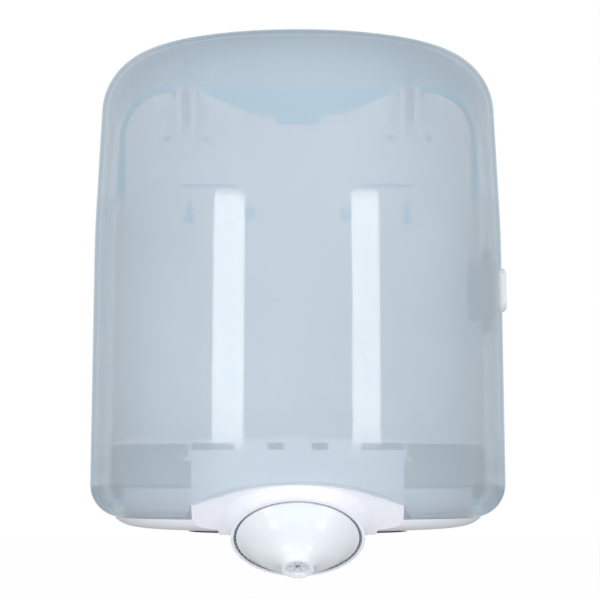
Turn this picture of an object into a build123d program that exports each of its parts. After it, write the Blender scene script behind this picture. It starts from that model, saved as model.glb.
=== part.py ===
"""Wall-mounted centrefeed roll dispenser with a lift-up cover, a side latch and a turning nozzle.

Millimetres. +Z is up, the wall is the plane Y = 0 and the front faces -Y. The origin is the middle of
the rectangle of four wall screws. Heights below are measured up from the cover's bottom edge.
"""

import os
from math import cos, radians, sin

from build123d import *

# Cover
cover_half_width = 127.2
crease_inset = 2.1
crown_inset = 8.0
crease_height = 173.0
cover_height = 285.0
cover_depth = 236.0
cover_wall = 2.6
crown_round = 38.0
crease_round = 700.0
bottom_round = 20.0
rim_drop = 0.6
rim_width = 18.2
cover_rear_gap = 4.0
crown_cut_height = 262.0

# Arch cut out of the cover in front of the nozzle
arch_top_height = 21.5
arch_half_width = 61.5
arch_straight_height = 5.0
arch_flare = 4.8

# Wall screws and the other holes of the back
screw_span_x = 92.0
screw_span_z = 100.0
screw_centre_height = 141.0
screw_hole_radius = 2.75
back_wall = 3.2
back_pad = 0.9
back_pad_low = 72.0
back_pad_high = 206.0
back_half_width = 115.0
back_top_height = 279.0
back_corner_round = 30.0
back_dip_depth = 14.5
back_dip_top = 63.0
back_dip_floor = 30.0
tray_gap = 1.3
tray_wall = 2.4
tray_depth = 38.0
tray_foot_height = 9.5
tray_top_height = 208.0
tray_front_height = 193.0
grip_slot_length = 37.0
grip_slot_height = 2.6
grip_slot_x = 59.5
grip_slot_level = 217.0
keyhole_x = 72.5
keyhole_level = 195.0
keyhole_head_radius = 4.2
keyhole_neck_radius = 2.2
keyhole_neck_length = 9.0
window_x = 32.0
window_level = 198.0
window_size = 8.4
top_slot_width = 30.0
top_slot_level = 257.6

# Base
base_rim_cover = 2.8
base_drop = 9.6
base_wall = 2.4
upstand_rim_gap = 2.7
upstand_height = 17.0
under_rim_gap = 0.6
bay_half_width = 60.5
bay_cover_gap = 1.9
bay_rim_gap = 0.5
bay_top_height = 39.0
bay_length = 84.0
leg_front_setback = 110.0
leg_rear = 46.0
leg_x = 52.0

# Nozzle, drawn about its own axis, which points forwards and down
nozzle_tilt = 54.0
ring_setback = 34.6
ring_height = -11.5
bay_face_setback = 7.5
throat_radius = 36.9
throat_wall = 1.8
throat_length = 31.0
flare_radius = 7.0
lip_radius = 47.5
lip_rise = 9.0
lip_top = 7.0
lip_foot = 9.2
lip_thickness = 1.1
shoulder_setback = 10.0
shoulder_radius = 32.6
shoulder_wall = 2.4

# Toothed collar and nozzle cone
collar_gap = 0.12
collar_rim = 0.55
collar_face = 1.5
collar_bore = 30.35
tooth_count = 60
tooth_depth = 0.5
cone_radius = 35.3
cone_edge = 1.2
cone_length = 21.0
cone_wall = 1.8
tip_radius = 9.1
tip_bore = 7.9
skirt_gap = 0.35
skirt_length = 12.4
lock_ring_gap = 0.25
lock_ring_thickness = 1.4
lock_ring_groove = 0.7
lock_ring_radius = 32.0
sleeve_gap = 0.02
sleeve_wall = 1.3
sleeve_length = 13.0
iris_setback = 1.9
iris_bore = 1.5
iris_thickness = 2.2
iris_slit = 0.45
iris_slits = 6

# Roll seat and paper guide
seat_height = 45.4
seat_wall = 2.4
seat_cover_gap = 9.1
seat_lip_gap = 2.6
pad_half_width = 36.0
pad_slot_inner = 8.0
pad_slot_outer = 17.0
pad_gap = 0.2
hook_setback = 31.0
hook_length = 8.0
hook_foot = 33.0
hook_wall = 2.0
hook_reach = 5.0
apron_slot_x = 27.0
apron_slot_level = 53.6
apron_slot_width = 20.0
apron_slot_height = 8.4
apron_top = 69.0
apron_crease = 61.0
apron_side = 47.0
apron_depth = 34.0
guide_foot_radius = 29.0
guide_top_radius = 43.0
guide_wall = 1.8
guide_start = 13.6
guide_length = 92.0
guide_gap = 0.3
guide_flange_setback = 43.2
guide_rim = 1.6
leg_radius = 4.0

# Hinge
hinge_height = 277.0
hinge_depth = 13.0
hinge_x = 74.0
hinge_eye = 4.5
lug_width = 5.0
ear_width = 4.0
ear_gap = 0.4
pin_radius = 1.7
pin_gap = 0.06
pin_head_radius = 2.9
pin_head = 1.2
clip_radius = 3.3
clip_thickness = 0.8

# Latch
latch_depth = 92.0
latch_height = 140.0
button_half_height = 13.5
button_half_width = 6.5
button_proud = 4.4
button_gap = 0.4
button_travel = 3.0
flange_margin = 1.8
flange_thickness = 2.4
catch_drop = 9.5
catch_width = 7.0
catch_inset = 11.2
catch_nose_depth = 49.0
bolt_overlap = 2.0
bolt_arm = 3.2
housing_wall = 1.8
housing_depth = 16.2
spring_radius = 3.2
spring_wire = 0.35

# Screws
screw_radius = 1.25
screw_head_radius = 2.2
screw_head = 1.4

# Worked out from the sizes above
crease_half_width = cover_half_width - crease_inset
crown_half_width = cover_half_width - crown_inset
rim_half_width = cover_half_width - rim_width
base_half_width = rim_half_width + base_rim_cover
upstand_half_width = rim_half_width - upstand_rim_gap
seat_half_width = cover_half_width - cover_wall - seat_cover_gap
seat_lip_half_width = cover_half_width - cover_wall - seat_lip_gap
bay_radius = cover_half_width - cover_wall - bay_cover_gap
bay_back = cover_depth - bay_length
ring_depth = cover_depth - ring_setback
leg_front = cover_depth - leg_front_setback
hook_front = cover_depth - hook_setback
hook_rear = hook_front - hook_length
guide_centre = guide_flange_setback - ring_depth
catch_height = latch_height - catch_drop
catch_nose = cover_half_width - catch_inset
far = cover_height + cover_depth
edge_z = -screw_centre_height
nose_y = cover_half_width - cover_depth
axis_y = -cos(radians(nozzle_tilt))
axis_z = -sin(radians(nozzle_tilt))
hinge_z = edge_z + hinge_height

nose_plane = Plane(origin=(0, nose_y, edge_z), x_dir=(1, 0, 0), z_dir=(0, -1, 0))
nose_axis = Axis((0, nose_y, 0), (0, 0, -1))
nozzle_plane = Plane(
    origin=(0, -ring_depth, edge_z + ring_height), x_dir=(1, 0, 0), z_dir=(0, axis_y, axis_z)
)
nozzle_side = Plane(nozzle_plane.origin, x_dir=nozzle_plane.x_dir, z_dir=-nozzle_plane.y_dir)
nozzle_axis = Axis(nozzle_plane.origin, nozzle_plane.z_dir)
wall_tilt = (cover_half_width - crease_half_width) / (crease_height + rim_drop)


def save(part, name):
    """Labels a finished piece and writes it as its own file."""
    print(name, round(part.volume), part.is_valid, len(part.solids()))
    part.label = name
    export_step(part, f"parts/{name}.step")


def wall_x(height, inset):
    """How far out the cover's flat side stands at a height, moved inwards by inset."""
    return cover_half_width - (height + rim_drop) * wall_tilt - inset


def cover_section(inset):
    """The cover's outline seen from the front, moved inwards by inset."""
    corners = [
        (-cover_half_width, -rim_drop),
        (cover_half_width, -rim_drop),
        (crease_half_width, crease_height),
        (crown_half_width, cover_height),
        (-crown_half_width, cover_height),
        (-crease_half_width, crease_height),
    ]
    with BuildSketch() as section:
        with BuildLine():
            Polyline(*corners, close=True)
        make_face()
        fillet(section.vertices().group_by(Axis.Y)[-1], crown_round)
        crease = section.vertices().filter_by_position(Axis.Y, crease_height - 1, crease_height + 1)
        fillet(crease, crease_round)
        fillet(section.vertices().group_by(Axis.Y)[0], bottom_round)
        if inset:
            offset(amount=-inset, kind=Kind.INTERSECTION)
    return section.sketch


def dish_section(inset):
    """The base's shallow dish seen from the front; inset gives the hollow inside its wall."""
    profile = [
        (base_half_width, -under_rim_gap),
        (base_half_width - 3.4, -3.3),
        (base_half_width - 8.6, -5.5),
        (base_half_width - 15, -6.7),
        (base_half_width - 28, -7.7),
        (base_half_width - 50, -8.9),
        (base_half_width - 74, -base_drop),
    ]
    entry = (-0.72, -0.7)
    if inset:
        profile = [(x - inset / 3, z + inset) for x, z in profile[2:]]
        profile[0] = (profile[0][0], -under_rim_gap - inset)
        entry = (-1, -0.2)
    with BuildSketch() as section:
        with BuildLine():
            right = Spline(*profile, tangents=(entry, (-1, 0)))
            left = Spline(*[(-x, z) for x, z in profile], tangents=((-entry[0], entry[1]), (1, 0)))
            Line(right @ 1, left @ 1)
            Line(right @ 0, left @ 0)
        make_face()
    return section.sketch


def d_form(section):
    """The solid with this front outline: turned through the nose, then straight back to the wall."""
    with BuildPart() as form:
        with BuildSketch(nose_plane) as half:
            add(section)
            with Locations((-far, 0)):
                Rectangle(2 * far, 2 * far, mode=Mode.SUBTRACT)
        revolve(axis=nose_axis, revolution_arc=180)
        extrude(half.sketch, amount=nose_y)
        mirror(about=Plane.YZ)
    return form.part


def d_prism(half_width, low, high):
    """An upright block with the dispenser's D-shaped plan."""
    with BuildPart() as prism:
        with BuildSketch(Plane.XY.offset(edge_z + low)):
            with BuildLine():
                left = Line((-half_width, 0), (-half_width, nose_y))
                nose = ThreePointArc(left @ 1, (0, nose_y - half_width), (half_width, nose_y))
                right = Line(nose @ 1, (half_width, 0))
                Line(right @ 1, left @ 0)
            make_face()
        extrude(amount=high - low)
    return prism.part


def slab(x, y, height):
    """A box between two x, two y and two heights above the cover's bottom edge."""
    with BuildPart() as block:
        with Locations(((x[0] + x[1]) / 2, (y[0] + y[1]) / 2, edge_z + (height[0] + height[1]) / 2)):
            Box(x[1] - x[0], y[1] - y[0], height[1] - height[0])
    return block.part


def bar(start, end, radius):
    """A round bar between two points."""
    line = Vector(*end) - Vector(*start)
    with BuildPart() as rod:
        with BuildSketch(Plane(origin=start, z_dir=line)):
            Circle(radius)
        extrude(amount=line.length)
    return rod.part


def screw(seat, direction, length):
    """A pan head screw: its head stands on the seat and its shank runs along the direction."""
    way = Vector(*direction).normalized()
    place = Vector(*seat)
    with BuildPart() as fastener:
        with BuildSketch(Plane(origin=place, z_dir=way)):
            Circle(screw_radius)
        extrude(amount=length)
        with BuildSketch(Plane(origin=place, z_dir=-way)):
            Circle(screw_head_radius)
        extrude(amount=screw_head)
        crown = fastener.faces().filter_by(GeomType.PLANE).sort_by(Axis(seat, tuple(way)))[0]
        fillet(crown.edges(), 0.5)
        with BuildSketch(Plane(origin=place - way * screw_head, z_dir=way)):
            Rectangle(2.6, 0.6)
            Rectangle(0.6, 2.6)
        extrude(amount=0.8, mode=Mode.SUBTRACT)
    return fastener.part


def drilled(seat, direction, length, radius=screw_radius):
    """The straight hole that a screw on this seat goes into."""
    way = Vector(*direction).normalized()
    start = Vector(*seat) - way * 0.05
    end = Vector(*seat) + way * length
    return bar(tuple(start), tuple(end), radius)


def ahead_of(distance):
    """Everything further along the nozzle's axis than this distance from the ring."""
    with BuildPart() as block:
        with BuildSketch(nozzle_plane.offset(distance)):
            Rectangle(2 * far, 2 * far)
        extrude(amount=far)
    return block.part


def nozzle_turn(points):
    """A ring turned about the nozzle's axis from (radius, distance in front of the ring) corners."""
    with BuildPart() as ring:
        with BuildSketch(nozzle_side):
            with BuildLine():
                Polyline(*points, close=True)
            make_face()
        revolve(axis=nozzle_axis)
    return ring.part


def on_nozzle(radius, angle, distance):
    """A point about the nozzle's axis."""
    turn = radians(angle)
    local = (radius * cos(turn), radius * sin(turn), distance)
    return tuple(nozzle_plane.from_local_coords(local))


os.makedirs("parts", exist_ok=True)

# Screw places
wall_screws = [
    (side * screw_span_x / 2, 0, level * screw_span_z / 2) for side in (-1, 1) for level in (-1, 1)
]
base_rear = back_wall + 0.05
base_screw_seats = [(x, -base_rear - base_wall, edge_z + 9) for x in (-88, -30, 30, 88)]
leg_places = [(side * leg_x, -depth) for side in (-1, 1) for depth in (leg_rear, leg_front)]
leg_screw_seats = [(x, y, edge_z - base_drop + 1.6) for x, y in leg_places]
collar_screw_angles = [90, 210, 330]
collar_screw_radius = (shoulder_radius + throat_radius) / 2 - 0.2
collar_screw_seats = [
    on_nozzle(collar_screw_radius, angle, -shoulder_setback - shoulder_wall) for angle in collar_screw_angles
]
guide_screw_places = [
    (side * 32.4, guide_centre + end * 38.0) for side in (-1, 1) for end in (-1, 1)
]
ear_front = back_wall + 3.0
hinge_screw_places = [
    (side * x, edge_z + 248) for side in (-1, 1) for x in (hinge_x - 13, hinge_x + 13)
]
boss_height = 5.0
latch_screw_levels = [latch_height - 23.0, latch_height + 23.0]

# Front cover
arch_plane = Plane(
    origin=(0, -cover_depth, edge_z + arch_top_height), x_dir=(1, 0, 0), z_dir=(0, axis_y, axis_z)
)
button_plane = Plane(
    origin=(wall_x(latch_height, cover_wall), -latch_depth, edge_z + latch_height),
    x_dir=(0, 1, 0),
    z_dir=(1, 0, wall_tilt),
)
with BuildPart() as bay_clearance:
    add(d_prism(bay_radius + bay_rim_gap, -5, 0.62 * bottom_round))
    add(slab((-arch_half_width, arch_half_width), (-far, -bay_back), (-far, far)), mode=Mode.INTERSECT)
with BuildPart() as front_cover:
    add(d_form(cover_section(0)))
    add(d_form(cover_section(cover_wall)), mode=Mode.SUBTRACT)
    add(d_prism(rim_half_width, -5, bottom_round / 2), mode=Mode.SUBTRACT)
    add(slab((-far, far), (-far, far), (-far, 0)), mode=Mode.SUBTRACT)
    add(bay_clearance.part, mode=Mode.SUBTRACT)
    add(slab((-far, far), (-cover_rear_gap, far), (-far, far)), mode=Mode.SUBTRACT)
    add(slab((-far, far), (-hinge_depth, far), (crown_cut_height, far)), mode=Mode.SUBTRACT)
    with BuildSketch(arch_plane):
        Rectangle(2 * far, 2 * far)
    extrude(amount=far, mode=Mode.SUBTRACT)
    with BuildSketch(Plane.XZ.offset(ring_depth - 20)):
        with BuildLine():
            Polyline(
                (-arch_half_width - arch_flare, edge_z - 1),
                (arch_half_width + arch_flare, edge_z - 1),
                (arch_half_width, edge_z + arch_straight_height),
                (-arch_half_width, edge_z + arch_straight_height),
                close=True,
            )
        make_face()
    extrude(amount=100, mode=Mode.SUBTRACT)
    # Hinge lugs
    for side in (-1, 1):
        with BuildSketch(Plane.YZ.offset(side * hinge_x - lug_width / 2)):
            with Locations((-hinge_depth, hinge_z)):
                Circle(hinge_eye)
            with BuildLine():
                Polyline(
                    (-hinge_depth, hinge_z - hinge_eye),
                    (-hinge_depth, edge_z + cover_height - cover_wall / 2),
                    (-hinge_depth - 20, edge_z + cover_height - cover_wall / 2),
                    (-hinge_depth - 15, hinge_z + 2),
                    (-hinge_depth - 3.5, hinge_z - 3.5),
                    close=True,
                )
            make_face()
        extrude(amount=lug_width)
        lug_end = (side * hinge_x - lug_width, -hinge_depth, hinge_z)
        other_end = (side * hinge_x + lug_width, -hinge_depth, hinge_z)
        add(bar(lug_end, other_end, pin_radius + pin_gap), mode=Mode.SUBTRACT)
    # Opening for the latch button and the two bosses of its housing
    with BuildSketch(button_plane.offset(-2)):
        SlotOverall(
            2 * (button_half_height + button_gap), 2 * (button_half_width + button_gap), rotation=90
        )
    extrude(amount=cover_wall + 6, mode=Mode.SUBTRACT)
    for level in latch_screw_levels:
        foot = (wall_x(latch_height, cover_wall) - boss_height, -latch_depth, edge_z + level)
        head = (wall_x(level, cover_wall / 2), -latch_depth, edge_z + level)
        add(bar(foot, head, 3.6))
        add(drilled(foot, (1, 0, 0), boss_height - 0.6), mode=Mode.SUBTRACT)
save(front_cover.part, "front_cover")

# Back shell
tray_inset = cover_wall + tray_gap
with BuildPart() as tray_form:
    add(d_form(cover_section(tray_inset)))
    add(d_form(cover_section(tray_inset + tray_wall)), mode=Mode.SUBTRACT)
    add(slab((-far, far), (-far, -tray_depth), (-far, far)), mode=Mode.SUBTRACT)
    add(slab((-far, far), (-far, far), (-far, tray_foot_height)), mode=Mode.SUBTRACT)
    add(slab((-far, far), (-far, far), (tray_top_height, far)), mode=Mode.SUBTRACT)
    with BuildSketch(Plane.YZ.offset(-far)):
        with BuildLine():
            Polyline(
                (-back_wall - 4, edge_z + tray_top_height),
                (-back_wall - 14, edge_z + tray_front_height + 5),
                (-tray_depth - 1, edge_z + tray_front_height),
                (-tray_depth - 1, edge_z + tray_top_height + 5),
                (-back_wall - 4, edge_z + tray_top_height + 5),
                close=True,
            )
        make_face()
    extrude(amount=2 * far, mode=Mode.SUBTRACT)
with BuildPart() as back_plate:
    add(d_form(cover_section(tray_inset)))
    add(slab((-far, far), (-far, -back_wall), (-far, far)), mode=Mode.SUBTRACT)
    add(slab((-far, far), (-far, far), (-far, tray_foot_height)), mode=Mode.SUBTRACT)
    add(slab((-far, far), (-far, far), (tray_top_height, far)), mode=Mode.SUBTRACT)
with BuildPart() as back_shell:
    add(tray_form.part)
    add(back_plate.part)
    add(slab((-upstand_half_width, upstand_half_width), (-back_wall, 0), (0, tray_foot_height + 5)))
    with BuildSketch(Plane.XZ) as upper_plate:
        with BuildLine():
            Polyline(
                (-back_half_width, edge_z + tray_top_height - 10),
                (-back_half_width, edge_z + back_top_height),
                (-back_dip_top, edge_z + back_top_height),
                (-back_dip_floor, edge_z + back_top_height - back_dip_depth),
                (back_dip_floor, edge_z + back_top_height - back_dip_depth),
                (back_dip_top, edge_z + back_top_height),
                (back_half_width, edge_z + back_top_height),
                (back_half_width, edge_z + tray_top_height - 10),
                close=True,
            )
        make_face()
        crown = upper_plate.vertices().sort_by(Axis.Y)[-4:].sort_by(Axis.X)
        fillet([crown[0], crown[3]], back_corner_round)
    extrude(amount=back_wall)
    add(
        slab(
            (-screw_span_x / 2 - 32, screw_span_x / 2 + 32),
            (-back_wall - back_pad, -back_wall),
            (back_pad_low, back_pad_high),
        )
    )
    # Screw holes, keyholes, windows and slots
    for place in wall_screws:
        hole_end = (place[0], -10, place[2])
        add(bar((place[0], 1, place[2]), hole_end, screw_hole_radius), mode=Mode.SUBTRACT)
        counterbore = (place[0], -back_wall, place[2])
        add(bar(counterbore, hole_end, 2 * screw_hole_radius), mode=Mode.SUBTRACT)
    for side in (-1, 1):
        with BuildSketch(Plane.XZ.offset(-1)):
            with Locations((side * keyhole_x, edge_z + keyhole_level)):
                Circle(keyhole_head_radius)
            with Locations((side * keyhole_x, edge_z + keyhole_level + keyhole_neck_length / 2)):
                SlotOverall(keyhole_neck_length + 2 * keyhole_neck_radius, 2 * keyhole_neck_radius, 90)
            with Locations((side * window_x, edge_z + window_level)):
                Rectangle(window_size, window_size)
            with Locations((side * grip_slot_x, edge_z + grip_slot_level)):
                SlotOverall(grip_slot_length, grip_slot_height)
        extrude(amount=20, mode=Mode.SUBTRACT)
    half_notch = top_slot_width / 2
    add(slab((-half_notch, half_notch), (-10, 5), (top_slot_level, cover_height)), mode=Mode.SUBTRACT)
    # Lugs behind the cover's rear edge, which carry the buffers
    for side in (-1, 1):
        inner = side * (wall_x(30, tray_inset) - 3)
        outer = side * (wall_x(30, cover_wall) + 1.6)
        add(slab(sorted((inner, outer)), (-back_wall, 0), (26, 34)))
    # Striker for the latch, beside the right wall
    bolt_low = catch_height - catch_width / 2
    bolt_high = catch_height + catch_width / 2
    striker_out = wall_x(catch_height, tray_inset) - 0.1
    striker_in = striker_out - tray_wall
    add(slab((striker_in, striker_out), (-catch_nose_depth - 4, -tray_depth + 4), (bolt_low, bolt_high)))
    with BuildSketch(Plane.XY.offset(edge_z + bolt_low)):
        with BuildLine():
            Polyline(
                (striker_in + 0.5, -catch_nose_depth),
                (catch_nose, -catch_nose_depth),
                (striker_in + 0.5, -catch_nose_depth - 4),
                close=True,
            )
        make_face()
    extrude(amount=catch_width)
    for x, z in hinge_screw_places:
        add(drilled((x, -back_wall, z), (0, 1, 0), back_wall - 0.6), mode=Mode.SUBTRACT)
    for seat in base_screw_seats:
        hole_start = (seat[0], -back_wall - 0.1, seat[2])
        add(drilled(hole_start, (0, 1, 0), back_wall - 0.5), mode=Mode.SUBTRACT)
save(back_shell.part, "back_shell")

# Base housing, one moulding with the ring around the nozzle
with BuildPart() as bay_block:
    add(d_prism(bay_radius, -under_rim_gap - 0.01, bay_top_height))
    add(slab((-bay_half_width, bay_half_width), (-far, -bay_back), (-far, far)), mode=Mode.INTERSECT)
with BuildPart() as bay_hollow:
    add(d_prism(bay_radius - base_wall, -under_rim_gap - base_wall - 0.1, bay_top_height + 5))
    inside = bay_half_width - base_wall
    add(slab((-inside, inside), (-far, -bay_back + 5), (-far, far)), mode=Mode.INTERSECT)
with BuildPart() as base_hollow:
    add(d_form(dish_section(base_wall)))
    add(d_prism(upstand_half_width - base_wall, -under_rim_gap - base_wall - 0.1, upstand_height + 5))
    add(bay_hollow.part)
    add(ahead_of(-bay_face_setback - base_wall), mode=Mode.SUBTRACT)
    add(slab((-far, far), (-base_rear - base_wall, far), (-far, far)), mode=Mode.SUBTRACT)
with BuildPart() as base_flare:
    with BuildSketch(nozzle_side):
        outer = throat_radius + throat_wall
        with BuildLine():
            corner = outer + flare_radius
            top = (outer, flare_radius - bay_face_setback)
            half_turn = flare_radius * cos(radians(45))
            swell = (corner - half_turn, -bay_face_setback + flare_radius - half_turn)
            curve = ThreePointArc(top, swell, (corner, -bay_face_setback))
            Polyline(
                curve @ 1,
                (corner, -bay_face_setback - 0.5),
                (outer - 0.5, -bay_face_setback - 0.5),
                (outer - 0.5, flare_radius - bay_face_setback),
                curve @ 0,
            )
        make_face()
    revolve(axis=nozzle_axis)
    add(d_prism(bay_radius, -base_drop, bay_top_height), mode=Mode.INTERSECT)
with BuildPart() as base_lip:
    with BuildSketch(nozzle_plane.offset(-bay_face_setback - lip_thickness)):
        with Locations((0, lip_rise)):
            Circle(lip_radius)
        Circle(throat_radius, mode=Mode.SUBTRACT)
        with Locations((0, lip_top + 50)):
            Rectangle(200, 100, mode=Mode.SUBTRACT)
    extrude(amount=lip_thickness)
    add(slab((-far, far), (-far, 0), (-lip_foot, far)), mode=Mode.INTERSECT)
with BuildPart() as base_housing:
    add(d_form(dish_section(0)))
    add(d_prism(upstand_half_width, -under_rim_gap - 0.01, upstand_height))
    add(bay_block.part)
    add(ahead_of(-bay_face_setback), mode=Mode.SUBTRACT)
    add(slab((-far, far), (-base_rear, far), (-under_rim_gap / 2, far)), mode=Mode.SUBTRACT)
    add(base_hollow.part, mode=Mode.SUBTRACT)
    add(nozzle_turn([
        (throat_radius - 0.4, 0), (outer, 0), (outer, -throat_length), (throat_radius - 0.4, -throat_length)
    ]))
    add(base_flare.part)
    add(base_lip.part)
    add(nozzle_turn([
        (0, 5), (throat_radius, 5), (throat_radius, -throat_length - 4.5), (0, -throat_length - 4.5)
    ]), mode=Mode.SUBTRACT)
    shoulder_back = -shoulder_setback - shoulder_wall
    add(nozzle_turn([
        (shoulder_radius, -shoulder_setback), (throat_radius + 0.5, -shoulder_setback),
        (throat_radius + 0.5, shoulder_back), (shoulder_radius, shoulder_back)
    ]))
    # Bars on the front of the bay
    for half, level in ((5, 31), (7.5, 26.6)):
        front = nose_y - bay_radius
        add(slab((-half, half), (front - 0.6, front + 1), (level - 0.8, level + 0.8)))
    # Screw pads and holes
    for x, y in leg_places:
        add(bar((x, y, edge_z - base_drop + 1), (x, y, edge_z - base_drop + 5), leg_radius))
    for seat in leg_screw_seats:
        add(drilled(seat, (0, 0, 1), 10, screw_radius + 0.2), mode=Mode.SUBTRACT)
        add(drilled(seat, (0, 0, -1), 10, screw_head_radius + 0.3), mode=Mode.SUBTRACT)
    for seat in base_screw_seats:
        add(drilled(seat, (0, 1, 0), 5), mode=Mode.SUBTRACT)
    for seat in collar_screw_seats:
        add(drilled(seat, (0, axis_y, axis_z), 5), mode=Mode.SUBTRACT)
save(base_housing.part, "base_housing")

# Toothed collar
collar_radius = throat_radius - collar_gap
rim_bore = collar_radius - collar_rim
skirt_radius = collar_bore - skirt_gap
with BuildPart() as nozzle_collar:
    add(nozzle_turn([
        (collar_bore, -shoulder_setback), (collar_radius, -shoulder_setback), (collar_radius, -0.3),
        (rim_bore, -0.3), (rim_bore, -collar_face), (collar_bore, -collar_face),
    ]))
    add(nozzle_turn([
        (collar_bore + 1.6, -shoulder_setback - 1), (collar_radius - 1.2, -shoulder_setback - 1),
        (collar_radius - 1.2, -collar_face - 1.6), (collar_bore + 1.6, -collar_face - 1.6),
    ]), mode=Mode.SUBTRACT)
    with BuildSketch(nozzle_plane.offset(-collar_face - 0.2)):
        with PolarLocations(rim_bore + 0.2, tooth_count):
            Rectangle(2 * (tooth_depth + 0.2), 1.7)
    extrude(amount=collar_face - 0.2)
    for angle in collar_screw_angles:
        boss_foot = on_nozzle(collar_screw_radius, angle, -shoulder_setback)
        boss_top = on_nozzle(collar_screw_radius, angle, -collar_face - 0.5)
        add(bar(boss_foot, boss_top, 2.4))
    add(nozzle_turn([
        (collar_radius, 2), (collar_radius + 5, 2), (collar_radius + 5, -20), (collar_radius, -20)
    ]), mode=Mode.SUBTRACT)
    for angle in collar_screw_angles:
        seat = on_nozzle(collar_screw_radius, angle, -shoulder_setback)
        add(drilled(seat, (0, axis_y, axis_z), 6), mode=Mode.SUBTRACT)
save(nozzle_collar.part, "nozzle_collar")

# Nozzle cone
with BuildPart() as nozzle_cone:
    with BuildSketch(nozzle_side):
        with BuildLine():
            outside = Spline(
                (cone_radius, 0), (27, 6.7), (16.5, 12.6), (10.6, 17.2), (tip_radius, cone_length),
                tangents=((-1, 0.62), (-0.1, 1)),
            )
            inside = Spline(
                (tip_bore, cone_length - 4.5), (9.4, 15.6), (15.5, 10.9), (26, 4.9),
                (skirt_radius - cone_wall, 3.4),
                tangents=((0.05, -1), (1, -0.62)),
            )
            Polyline(outside @ 1, (tip_bore, cone_length), inside @ 0)
            Polyline(
                inside @ 1,
                (skirt_radius - cone_wall, -skirt_length),
                (skirt_radius, -skirt_length),
                (skirt_radius, -cone_edge),
                (cone_radius, -cone_edge),
                outside @ 0,
            )
        make_face()
    revolve(axis=nozzle_axis)
    groove_front = -shoulder_setback - lock_ring_gap
    groove_back = groove_front - lock_ring_thickness
    add(nozzle_turn([
        (skirt_radius - lock_ring_groove, groove_front), (skirt_radius + 2, groove_front),
        (skirt_radius + 2, groove_back), (skirt_radius - lock_ring_groove, groove_back),
    ]), mode=Mode.SUBTRACT)
save(nozzle_cone.part, "nozzle_cone")

# Ring that keeps the cone in the collar
with BuildPart() as retaining_ring:
    add(nozzle_turn([
        (skirt_radius - lock_ring_groove + 0.02, groove_front - 0.02),
        (lock_ring_radius, groove_front - 0.02),
        (lock_ring_radius, groove_back + 0.02),
        (skirt_radius - lock_ring_groove + 0.02, groove_back + 0.02),
    ]))
    with BuildSketch(nozzle_plane.offset(groove_back - 1)):
        with Locations((skirt_radius, 0)):
            Rectangle(8, 5)
    extrude(amount=4, mode=Mode.SUBTRACT)
save(retaining_ring.part, "retaining_ring")

# Sleeve in the tip and the slit insert that grips the paper
with BuildPart() as tip_sleeve:
    sleeve_radius = tip_bore - sleeve_gap
    add(nozzle_turn([
        (sleeve_radius - sleeve_wall, cone_length - 0.4),
        (sleeve_radius, cone_length - 0.4),
        (sleeve_radius, cone_length - sleeve_length),
        (sleeve_radius - sleeve_wall, cone_length - sleeve_length),
    ]))
save(tip_sleeve.part, "tip_sleeve")
with BuildPart() as metering_insert:
    iris_radius = sleeve_radius - sleeve_wall - sleeve_gap
    with BuildSketch(nozzle_plane.offset(cone_length - iris_setback)):
        Circle(iris_radius)
        Circle(iris_bore, mode=Mode.SUBTRACT)
        slit_length = iris_radius - iris_bore - 0.6
        with PolarLocations(iris_bore + slit_length / 2 - 0.2, iris_slits):
            Rectangle(slit_length, iris_slit, mode=Mode.SUBTRACT)
    extrude(amount=-iris_thickness)
save(metering_insert.part, "metering_insert")

# Collar screws
with BuildPart() as collar_screws:
    for seat in collar_screw_seats:
        add(screw(seat, (0, axis_y, axis_z), 7))
save(collar_screws.part, "collar_screws")

# Paper guide
guide_end = -guide_start - guide_length
with BuildPart() as guide_core:
    add(nozzle_turn([
        (0, -guide_start + 1), (guide_foot_radius - 0.152, -guide_start + 1),
        (guide_top_radius + 0.152, guide_end - 1), (0, guide_end - 1),
    ]))
with BuildPart() as guide_skin:
    add(nozzle_turn([
        (0, -guide_start), (guide_foot_radius + guide_wall, -guide_start),
        (guide_top_radius + guide_wall, guide_end), (0, guide_end),
    ]))
with BuildPart() as paper_guide:
    add(guide_skin.part)
    add(slab((-far, far), (-far, far), (seat_height + guide_rim, far)), mode=Mode.SUBTRACT)
    with BuildSketch(Plane.XY.offset(edge_z + seat_height)):
        with Locations((0, guide_centre)):
            Ellipse(56, 45.5, rotation=90)
        with Locations(*guide_screw_places):
            Circle(4.2)
    extrude(amount=guide_rim)
    add(guide_core.part, mode=Mode.SUBTRACT)
    for x, y in guide_screw_places:
        seat = (x, y, edge_z + seat_height + guide_rim)
        add(drilled(seat, (0, 0, -1), 4, screw_radius + 0.15), mode=Mode.SUBTRACT)
save(paper_guide.part, "paper_guide")

# Roll seat
with BuildPart() as guide_passage:
    add(nozzle_turn([
        (0, -guide_start), (guide_foot_radius + guide_wall + guide_gap, -guide_start),
        (guide_top_radius + guide_wall + guide_gap, guide_end), (0, guide_end),
    ]))
lip_inside = bay_half_width - 3
with BuildPart() as seat_lip:
    add(d_prism(seat_lip_half_width, seat_height - seat_wall, seat_height))
    add(slab((-lip_inside, lip_inside), (-far, nose_y), (-far, far)), mode=Mode.INTERSECT)
with BuildPart() as seat_pads:
    add(d_prism(bay_radius - pad_gap, bay_top_height, seat_height - seat_wall + 0.5))
    add(d_prism(bay_radius - base_wall + pad_gap, 0, seat_height), mode=Mode.SUBTRACT)
    add(slab((-pad_half_width, pad_half_width), (-far, nose_y), (-far, far)), mode=Mode.INTERSECT)
    for side in (-1, 1):
        slot = sorted((side * pad_slot_inner, side * pad_slot_outer))
        add(slab(slot, (-far, nose_y), (-far, far)), mode=Mode.SUBTRACT)
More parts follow.
